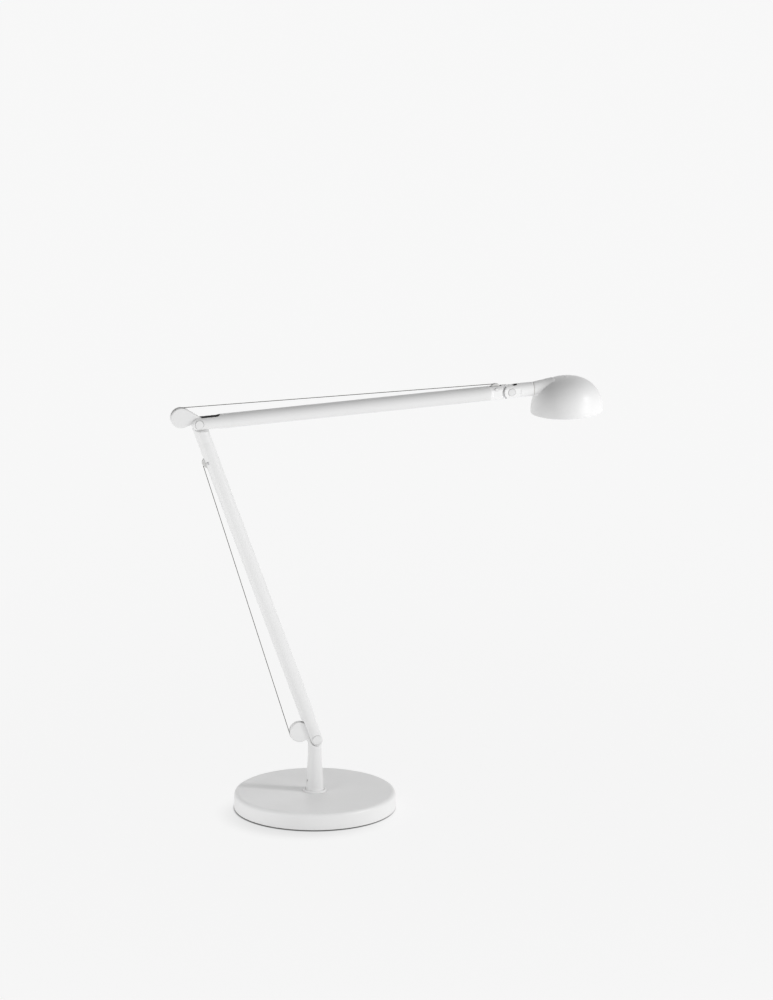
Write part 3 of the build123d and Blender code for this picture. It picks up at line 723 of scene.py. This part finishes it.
hinge_at = {joint["name"]: Vector(joint["pos_m"]) for joint in frame["joints"]}
low_pivot = hinge_at["lower_arm_pivot"]
elbow = hinge_at["elbow_pivot"]
lower_along = (elbow - low_pivot).normalized()
rearward = Vector((0, 1, 0))
arm_grid = 0.36


def paint_shade_in_slot(piece, pivot, along, half, start, end, floor_level=-20.0):
    """Gives the walls and the end of a milled slot the grub screw's black, as painted shade in the
    slot. The slot is 2 half wide, and runs along the arm from start to end, above its floor."""
    out = Vector((-along.z, 0, along.x))
    piece.data.materials.append(black_oxide_and_slot_shade)
    for face in piece.data.polygons:
        place = (face.center - pivot) / mm
        inside = start < place.dot(along) < end and abs(place.y) < half and place.dot(out) > floor_level
        if inside and abs(face.normal.dot(out)) < 0.6:
            face.material_index = 1


lower_fork = casting("lower_fork_plug", "lower_fork", arm_grid, soft_corner_passes)
fit(lower_fork, "lower_arm", "white_paint", white_paint, "lower_fork")
# Painted shade: the walls of the fork's slot are made black.
paint_shade_in_slot(lower_fork, low_pivot, lower_along, half=5.2, start=0.0, end=30.4)
elbow_lever = casting("elbow_casting", "elbow_lever", arm_grid, soft_corner_passes)
fit(elbow_lever, "lower_arm", "white_paint", white_paint, "elbow_lever")

tube_radius = 9.02
tube_bore = 7.6
lap = 1.3
lap_taper = 0.12
lap_edge = 0.5
tube_steps = 40
slot_reach = 7.6
slot_half = 2.6
clear_of_tube = 20.0


def tube(name, pivot, along, start, end):
    """A drawn steel tube. Its ends lap over the castings by a hair, as the paint that bridges
    the joints does, so that no seam shows."""
    return turned(
        name,
        [
            (tube_bore, start),
            (tube_radius - lap_taper, start - lap),
            (tube_radius, start - lap + lap_edge),
            *((tube_radius, start + (end - start) * k / tube_steps) for k in range(1, tube_steps)),
            (tube_radius, end + lap - lap_edge),
            (tube_radius - lap_taper, end + lap),
            (tube_bore, end),
        ],
        pivot, along, 96,
    )


def mill_slot(piece, pivot, along, at, floor_level):
    """Mills a round-ended slot for a pulley through one side of a tube, from its floor outwards."""
    out = Vector((-along.z, 0, along.x))
    cutter = bpy.data.meshes.new("slot_cutter")
    outline = []
    for k in range(33):
        a = pi * k / 16
        shift = (slot_reach - slot_half) * (1 if k < 9 or k > 24 else -1)
        outline.append((shift + slot_half * cos(a), slot_half * sin(a)))
    outline = list(dict.fromkeys(outline))
    vertices = []
    for level in (floor_level, clear_of_tube):
        for x, y in outline:
            vertices.append(pivot + (along * (at + x) + rearward * y + out * level) * mm)
    count = len(outline)
    faces = [list(range(count)), list(range(count, 2 * count))]
    faces += [(k, (k + 1) % count, (k + 1) % count + count, k + count) for k in range(count)]
    cutter.from_pydata(vertices, [], faces)
    crease(cutter)
    tool = bpy.data.objects.new("slot_cutter", cutter)
    bpy.context.scene.collection.objects.link(tool)
    cut = piece.modifiers.new("slot", "BOOLEAN")
    cut.object = tool
    cut.solver = "EXACT"
    milled = bpy.data.meshes.new_from_object(piece.evaluated_get(bpy.context.evaluated_depsgraph_get()))
    piece.modifiers.clear()
    piece.data = milled
    bpy.data.objects.remove(tool)
    crease(milled)


lower_tube = tube("lower_arm_tube", low_pivot, lower_along, start=46.0, end=408.0)
mill_slot(lower_tube, low_pivot, lower_along, at=383.4, floor_level=0.0)
fit(lower_tube, "lower_arm", "white_paint", white_paint, "lower_tube")


# ---------------------------------------------------------------- upper arm
# Made like the lower arm: a tube with a forked plug round the elbow's tongue. The cast nose at
# its end has flat cheeks, a slot for the small pulley, and the tongue of the head joint.

head_pivot = hinge_at["head_tilt"]
upper_along = (head_pivot - elbow).normalized()
cheek_inside = 3.3
cheek_outside = 4.1
cheek_reach = 12.5

# A lighter copy of the satin white paint, as painted light on the nose and the head arm.
lighter_casting_paint = finish_from(
    "white_paint_on_castings_painted_lighter", paint_film,
    {
        "Paint": (0.92, 0.92, 0.92, 1),
        "Thin paint": (0.84, 0.84, 0.835, 1),
        "Dust": (0.66, 0.65, 0.63, 1),
        "Dust share": 0.12,
        "Edge reach": 0.0006,
        "Peel": 900.0,
        "Satin": 0.37,
    },
    bump=0.007,
)
upper_fork = casting("upper_fork_plug", "upper_fork", arm_grid, soft_corner_passes)
fit(upper_fork, "upper_arm", "white_paint", white_paint, "upper_fork")
# Painted shade: the walls of the fork's slot are made black.
paint_shade_in_slot(upper_fork, elbow, upper_along, half=5.2, start=0.0, end=27.4)
nose = casting("nose_casting", "nose", arm_grid, soft_corner_passes)
fit(nose, "upper_arm", "painted_castings", lighter_casting_paint, "nose")
# Painted shade: the walls of the pulley's slot in the nose are made black.
paint_shade_in_slot(nose, elbow, upper_along, half=2.8, start=363.5, end=379.3, floor_level=-2.0)
# The tongue's cheeks are ground bare where the head joint's ears and washers turn on them; their bare
# steel also stands as painted shade in the recess between the nose's shoulder and the head arm's ears
nose.data.materials.append(steel)
for face in nose.data.polygons:
    on_cheek = cheek_inside < abs(face.center.y) / mm < cheek_outside and abs(face.normal.y) > 0.7
    if on_cheek and (face.center - head_pivot).length < cheek_reach * mm:
        face.material_index = 2
upper_tube = tube("upper_arm_tube", elbow, upper_along, start=40.0, end=363.0)
fit(upper_tube, "upper_arm", "white_paint", white_paint, "upper_tube")


# ---------------------------------------------------------------- pivot pins, cap nuts and washers
# Each joint turns on a painted steel pin with a wide flat cap, held by a cap nut at the back. A
# nylon washer lies on each side of the tongue.

pin_paint = finish_from(
    "white_paint_on_caps", paint_film,
    {
        "Paint": (0.80, 0.80, 0.80, 1),
        "Thin paint": (0.74, 0.74, 0.735, 1),
        "Dust": (0.66, 0.65, 0.63, 1),
        "Dust share": 0.05,
        "Edge reach": 0.0004,
        "Peel": 1600.0,
        "Satin": 0.33,
    },
    bump=0.004,
)
crown = 0.12
thread_step = 1.0
cap_groove = 0.24
nut_thread_gap = 0.02
nut_end_wall = 0.9
washer_near = 0.05
washer_far = 0.4
washer_rim = 0.8
washer_hole_gap = 0.02


def pivot_set(label, centre, body, tongue_body, pin, cap, seat, face, tongue):
    """The pin and cap nut of one joint on their body, and the washers on the tongue's body."""
    thread = pin - thread_step
    head = cap - cap_groove
    bolt = turned(
        label + "_pivot_pin",
        eased([
            (0, -face, 0),
            (head, -face + crown, 0.35),
            (head, -seat, 0.05),
            (pin, -seat, 0.05),
            (pin, seat, 0.1),
            (thread, seat, 0.05),
            (thread, face - thread_step, 0.2),
            (0, face - thread_step, 0),
        ]),
        centre, rearward, 64,
    )
    fit(bolt, body, "painted_pins", pin_paint, label + "_pin")
    nut = turned(
        label + "_cap_nut",
        eased([
            (0, face, 0),
            (head, face - crown, 0.35),
            (head, seat, 0.05),
            (thread + nut_thread_gap, seat, 0.05),
            (thread + nut_thread_gap, face - nut_end_wall, 0.05),
            (0, face - nut_end_wall, 0),
        ]),
        centre, rearward, 64,
    )
    fit(nut, body, "painted_pins", pin_paint, label + "_pin_nut")
    for side, name in ((-1, "front"), (1, "rear")):
        near, far = side * (tongue + washer_near), side * (tongue + washer_far)
        rim, hole = cap + washer_rim, pin + washer_hole_gap
        washer = turned(
            label + "_" + name + "_nylon_washer",
            eased([(rim, near, 0.08), (rim, far, 0.08), (hole, far, 0.05), (hole, near, 0.05)]),
            centre, rearward, 64,
        )
        fit(washer, tongue_body, "bearing_plastic", bearing_plastic, f"{label}_washer_{name}")


pivot_set(
    "low_pivot", low_pivot, "lower_arm", "lower_arm",
    pin=3.0, cap=5.8, seat=6.6, face=9.05, tongue=4.6,
)
pivot_set(
    "elbow", elbow, "upper_arm", "upper_arm",
    pin=3.0, cap=5.4, seat=6.6, face=9.05, tongue=4.6,
)
pivot_set(
    "head", head_pivot, "head_arm", "head_arm",
    pin=2.5, cap=4.6, seat=6.1, face=8.45, tongue=3.7,
)


# ---------------------------------------------------------------- small pulleys and axles
# Two moulded pulleys stand in the milled slots near the ends of the arms and lead the balance
# wires into the tubes. Each turns on a steel axle pressed through the arm. The upper one is
# painted with its arm, and the lower one was wiped clean.

pulley_radius = 6.6
pulley_half = 2.1
groove_centre = 6.0
wire_radius = 0.45
groove_radius = wire_radius + 0.3
axle_radius = 2.0
pulley_hole = axle_radius + 0.05
groove_steps = 12

pulley_plastic = finish_from(
    "pulley_acetal", moulded,
    {
        "Material colour": (0.70, 0.70, 0.69, 1),
        "Scuff colour": (0.60, 0.60, 0.59, 1),
        "Grain": 2400.0,
        "Lowest roughness": 0.30,
        "Highest roughness": 0.5,
    },
    bump=0.008,
)
mouth = asin(sqrt(groove_radius**2 - (pulley_radius - groove_centre) ** 2) / groove_radius)
groove = []
for k in range(groove_steps + 1):
    turn = mouth + (2 * pi - 2 * mouth) * k / groove_steps
    groove.append((groove_centre + groove_radius * cos(turn), groove_radius * sin(turn), 0))
pulley_outline = eased([
    (pulley_hole, pulley_half, 0.15),
    (pulley_radius, pulley_half, 0.3),
    *groove,
    (pulley_radius, -pulley_half, 0.3),
    (pulley_hole, -pulley_half, 0.15),
])
for arm, half, axle_finish in (("lower", 7.4, steel), ("upper", 8.3, pin_paint)):
    centre = hinge_at[arm + "_pulley_spin"]
    pulley = turned(arm + "_wire_pulley", pulley_outline, centre, rearward, 72)
    fit(pulley, arm + "_pulley", "pulley_plastic", pulley_plastic, arm + "_pulley")
    rim = half - 0.1
    axle = turned(
        arm + "_pulley_axle",
        eased([(0, -half, 0), (axle_radius, -rim, 0.45), (axle_radius, rim, 0.45), (0, half, 0)]),
        centre, rearward, 40,
    )
    fit(axle, arm + "_arm", "steel", axle_finish, arm + "_axle")


# ---------------------------------------------------------------- balance wires
# Each wire is a cable of six thin steel strands. It comes off its fixed disc, runs outside the
# arm to the small pulley, turns over it into the tube and ends in a ferrule on the spring.

disc_distance = 23.1
wire_on_disc = 12.35
wire_on_pulley = groove_centre
wrap_on_disc = radians(70)
strand_count = 6
strand_radius = 0.15
strand_lay = 6.5
strand_sides = 5
wire_step = 0.6

steel_wire = finish_from(
    "cable_steel", machined,
    {
        "Metal": (0.21, 0.205, 0.195, 1),
        "Tarnish": (0.12, 0.11, 0.10, 1),
        "Line density": (2500.0, 2500.0, 2500.0),
        "Polish": 0.30,
    },
    bump=0.002, Metallic=1.0,
)


def cable(name, route):
    """Six strands laid round a route of (place, direction) in the plane of the arms."""
    vertices, faces = [], []
    lengths = [0.0]
    for (a, _), (b, _) in zip(route, route[1:]):
        lengths.append(lengths[-1] + (b - a).length / mm)
    for strand in range(strand_count):
        first = len(vertices)
        for (place, ahead), at in zip(route, lengths):
            across = ahead.cross(rearward)
            a = 2 * pi * (strand / strand_count + at / strand_lay)
            heart = place + (across * cos(a) + rearward * sin(a)) * (wire_radius - strand_radius) * mm
            for side in range(strand_sides):
                b = 2 * pi * side / strand_sides + a
                vertices.append(heart + (across * cos(b) + rearward * sin(b)) * strand_radius * mm)
        for i in range(len(route) - 1):
            for side in range(strand_sides):
                n = (side + 1) % strand_sides
                low = first + i * strand_sides
                faces.append((low + side, low + n, low + strand_sides + n, low + strand_sides + side))
        faces.append([first + side for side in range(strand_sides)])
        faces.append([len(vertices) - 1 - side for side in range(strand_sides)])
    mesh = bpy.data.meshes.new(name)
    mesh.from_pydata(vertices, [], faces)
    crease(mesh, 80.0)
    piece = bpy.data.objects.new(name, mesh)
    bpy.context.scene.collection.objects.link(piece)
    return piece


def wire_route(pivot, disc, pulley, along, hook):
    """Round the disc, straight to the pulley, over it, and back along the tube to the hook."""
    out = Vector((-along.z, 0, along.x))
    run = pulley - disc
    bearing = atan2(run.dot(out), run.dot(along))
    touch = bearing + acos((wire_on_disc - wire_on_pulley) * mm / run.length)
    legs = []

    def bend(centre, radius, start, end):
        count = max(2, round(abs(end - start) * radius / wire_step))
        for k in range(count + 1):
            a = start + (end - start) * k / count
            arm = along * cos(a) + out * sin(a)
            legs.append((centre + arm * radius * mm, along * sin(a) - out * cos(a)))

    def straight(start, end):
        count = max(2, round((end - start).length / mm / wire_step))
        for k in range(1, count):
            legs.append((start.lerp(end, k / count), (end - start).normalized()))

    bend(disc, wire_on_disc, touch + wrap_on_disc, touch)
    leave = legs[-1][0]
    arrive = pulley + (along * cos(touch) + out * sin(touch)) * wire_on_pulley * mm
    straight(leave, arrive)
    bend(pulley, wire_on_pulley, touch, -pi / 2)
    inside = legs[-1][0]
    end = inside + along * (hook * mm - (inside - pivot).dot(along))
    straight(inside, end)
    legs.append((end, -along))
    return legs, leave, arrive


for arm, pivot, along, disc_turn, hook, fixed_body in (
    ("lower", low_pivot, lower_along, 154.0, 345.0, "stem"),
    ("upper", elbow, upper_along, 159.0, 320.0, "lower_arm"),
):
    disc = pivot + Vector((cos(radians(disc_turn)), 0, sin(radians(disc_turn)))) * disc_distance * mm
    route, leave, arrive = wire_route(pivot, disc, hinge_at[arm + "_pulley_spin"], along, hook)
    wire = cable(arm + "_cable", route)
    wire.data.materials.append(steel_wire)
    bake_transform(wire)
    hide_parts(arm + "_wire")


# ---------------------------------------------------------------- balance springs
# Hidden in each tube, a long close coil of spring steel pulls on the wire through a crimped
# ferrule. Its other end hooks onto a rod that is screwed into the fork plug.

coil_outside = 5.6
coil_wire = 0.7
coil_pitch = 1.65
coil_steps = 14
coil_sides = 6
foot_plug_length = 1.5
ferrule_length = 8.0
ferrule_radius = 2.6
crimp_radius = 2.2

spring_steel = finish_from(
    "oiled_spring_steel", machined,
    {
        "Metal": (0.30, 0.29, 0.28, 1),
        "Tarnish": (0.14, 0.12, 0.10, 1),
        "Line density": (3000.0, 3000.0, 3000.0),
        "Polish": 0.28,
    },
    bump=0.003, Metallic=1.0,
)
for arm, pivot, along, body, start, end, hook in (
    ("lower", low_pivot, lower_along, "lower_arm", 130.0, 334.0, 345.0),
    ("upper", elbow, upper_along, "upper_arm", 120.0, 309.0, 320.0),
):
    out = Vector((-along.z, 0, along.x))
    pulley = hinge_at[arm + "_pulley_spin"]
    centre = pivot + out * ((pulley - pivot).dot(out) - wire_on_pulley * mm)
    vertices, faces = [], []
    count = int((end - start) / coil_pitch * coil_steps)
    middle = coil_outside - coil_wire
    for k in range(count + 1):
        a = 2 * pi * k / coil_steps
        arm_out = rearward * cos(a) + out * sin(a)
        heart = centre + along * (start + (end - start) * k / count) * mm + arm_out * middle * mm
        for side in range(coil_sides):
            b = 2 * pi * side / coil_sides
            vertices.append(heart + (arm_out * cos(b) + along * sin(b)) * coil_wire * mm)
    for k in range(count):
        for side in range(coil_sides):
            n = (side + 1) % coil_sides
            low = k * coil_sides
            faces.append((low + side, low + n, low + coil_sides + n, low + coil_sides + side))
    faces.append(list(range(coil_sides)))
    faces.append([len(vertices) - 1 - side for side in range(coil_sides)])
    mesh = bpy.data.meshes.new(arm + "_spring_coil")
    mesh.from_pydata(vertices, [], faces)
    crease(mesh, 80.0)
    coil = bpy.data.objects.new(arm + "_spring_coil", mesh)
    bpy.context.scene.collection.objects.link(coil)
    ferrule_from = hook - ferrule_length
    for name, low, high in (("foot", start - foot_plug_length, start), ("top", end, ferrule_from)):
        plug = turned(
            f"{arm}_spring_{name}_plug",
            eased([(0, low, 0), (coil_outside, low, 0.3), (coil_outside, high, 0.3), (0, high, 0)]),
            centre, along, 40,
        )
        plug.data.materials.append(spring_steel)
        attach(plug, body)
    fit(coil, body, "spring_steel", spring_steel, arm + "_spring")
    ferrule = turned(
        arm + "_crimped_ferrule",
        eased([
            (0, ferrule_from, 0),
            (ferrule_radius, ferrule_from, 0.4),
            (ferrule_radius, hook - 6.0, 0.5),
            (crimp_radius, hook - 5.2, 0.5),
            (crimp_radius, hook - 2.8, 0.5),
            (ferrule_radius, hook - 2.0, 0.5),
            (ferrule_radius, hook, 0.4),
            (0, hook, 0),
        ]),
        centre, along, 40,
    )
    fit(ferrule, body, "steel", steel, arm + "_ferrule")
    paint(arm + "_spring_rod", spring_steel)


# ---------------------------------------------------------------- head arm
# A short die casting, forked round the nose's tongue at one end and bored for the swivel bolt at
# the other, where a thin dark seam parts it from the shade.

head_grid = 0.3

head_arm = casting("head_arm_casting", "head_arm", head_grid, soft_corner_passes)
fit(head_arm, "head_arm", "painted_castings", lighter_casting_paint, "head_arm")
# Painted shade: the walls and end of the head arm's slot are made black.
paint_shade_in_slot(head_arm, head_pivot, upper_along, half=4.3, start=4.0, end=8.3)
paint("swivel_bolt", steel)
paint("swivel_washer", bearing_plastic)


# ---------------------------------------------------------------- shade
# A die cast dome with a flared neck that grows out of its side. It is painted white inside and
# out, with the neck painted lighter as painted light, and a small screw at its crown holds the light unit.

shade_grid = 0.6
shade_passes = 8
shade_lean = radians(2.0)
shade_foot = Vector((317.5, 0, 489.8)) * mm
shade_up = Vector((-sin(shade_lean), 0, cos(shade_lean)))
screw_foot = 33.6
screw_shank = 1.23
screw_head = 1.7
screw_head_from = 43.41
screw_head_to = 43.76
neck_from = 0.0465
neck_lit_full_at = 0.0530

shade_paint_with_lit_neck = finish_from(
    "white_paint_on_shade_with_lit_neck", paint_film,
    {
        "Thin paint": (0.76, 0.76, 0.755, 1),
        "Dust": (0.66, 0.65, 0.63, 1),
        "Dust share": 0.12,
        "Edge reach": 0.0007,
        "Peel": 1000.0,
        "Satin": 0.38,
    },
    bump=0.006,
)
# Painted light: the paint turns lighter from the dome's edge onto the neck.
shade_tree = shade_paint_with_lit_neck.node_tree
from_foot = put_node(shade_tree, "ShaderNodeVectorMath", operation="DISTANCE")
shade_tree.links.new(surface_places(shade_tree), from_foot.inputs[0])
from_foot.inputs[1].default_value = shade_foot
painted_neck_light = spread_out(shade_tree, from_foot.outputs["Value"], neck_from, neck_lit_full_at)
shade_tree.links.new(
    blended(shade_tree, painted_neck_light, (0.80, 0.80, 0.80, 1), (0.93, 0.93, 0.93, 1)),
    next(node for node in shade_tree.nodes if node.type == "GROUP").inputs["Paint"],
)

shade = casting("shade_dome", "shade", shade_grid, shade_passes, keep=0.6)
fit(shade, "shade", "painted_castings", shade_paint_with_lit_neck, "shade")
crown_screw = turned(
    "crown_screw_head",
    eased([
        (0, screw_foot, 0),
        (screw_shank, screw_foot, 0.1),
        (screw_shank, screw_head_from, 0),
        (screw_head, screw_head_from, 0.05),
        (screw_head, screw_head_to, 0.2),
        (0, screw_head_to, 0),
    ]),
    shade_foot, shade_up, 40,
)
fit(crown_screw, "shade", "steel", white_paint, "crown_screw")


# ---------------------------------------------------------------- light unit
# Inside the dome: a ribbed aluminium heat sink with a round LED board, a white reflector cone, an
# opal diffuser and the plastic ring that holds it.

cone_mouth = 39.6
cone_rim = 40.8
cone_collar = 16.6
cone_hole = 15.4
cone_seat = 28.1
cone_top = 29.0
diffuser_radius = 41.0
diffuser_floor = 10.0
diffuser_top = 12.0
ring_outside = 41.9
ring_inside = 38.2
ring_floor = 8.2

aluminium = finish_from(
    "bare_aluminium", machined,
    {
        "Metal": (0.72, 0.72, 0.73, 1),
        "Tarnish": (0.55, 0.55, 0.56, 1),
        "Line density": (2500.0, 250.0, 400.0),
        "Polish": 0.32,
    },
    bump=0.006, Metallic=1.0,
)
paint("heat_sink", aluminium)

board_finish = finish_from(
    "led_board_mask", moulded,
    {
        "Material colour": (0.74, 0.76, 0.74, 1),
        "Scuff colour": (0.80, 0.78, 0.60, 1),
        "Grain": 3000.0,
        "Lowest roughness": 0.25,
        "Highest roughness": 0.45,
    },
    bump=0.01,
)
paint("led_board", board_finish)

reflector_white = finish_from(
    "reflector_white", moulded,
    {
        "Material colour": (0.86, 0.86, 0.85, 1),
        "Scuff colour": (0.80, 0.80, 0.78, 1),
        "Grain": 900.0,
        "Lowest roughness": 0.35,
        "Highest roughness": 0.5,
    },
    bump=0.01,
)
reflector = turned(
    "reflector_cone",
    eased([
        (cone_mouth, diffuser_top, 0.2),
        (cone_rim, diffuser_top, 0.2),
        (cone_collar, cone_top, 0.2),
        (cone_collar, cone_seat, 0.1),
        (cone_hole, cone_seat, 0.1),
    ]),
    shade_foot, shade_up, 128,
)
fit(reflector, "shade", "reflector_white", reflector_white, "reflector")

opal = finish_from(
    "opal_diffuser", moulded,
    {
        "Material colour": (0.84, 0.84, 0.82, 1),
        "Scuff colour": (0.78, 0.78, 0.76, 1),
        "Grain": 1400.0,
        "Lowest roughness": 0.4,
        "Highest roughness": 0.55,
    },
    bump=0.03,
)
diffuser = turned(
    "opal_disc",
    eased([
        (0, diffuser_floor, 0),
        (diffuser_radius, diffuser_floor, 0.3),
        (diffuser_radius, diffuser_top, 0.3),
        (0, diffuser_top, 0),
    ]),
    shade_foot, shade_up, 128,
)
fit(diffuser, "shade", "diffuser_plastic", opal, "diffuser")

ring_plastic = finish_from(
    "ring_plastic", moulded,
    {
        "Material colour": (0.74, 0.74, 0.73, 1),
        "Scuff colour": (0.66, 0.66, 0.65, 1),
        "Grain": 2000.0,
        "Lowest roughness": 0.4,
        "Highest roughness": 0.6,
    },
    bump=0.01,
)
ring = turned(
    "diffuser_snap_ring",
    eased([
        (ring_outside, ring_floor, 0.4),
        (ring_outside, diffuser_floor, 0.2),
        (ring_inside, diffuser_floor, 0.2),
        (ring_inside, ring_floor, 0.6),
    ]),
    shade_foot, shade_up, 128,
)
fit(ring, "shade", "ring_plastic", ring_plastic, "diffuser_ring")
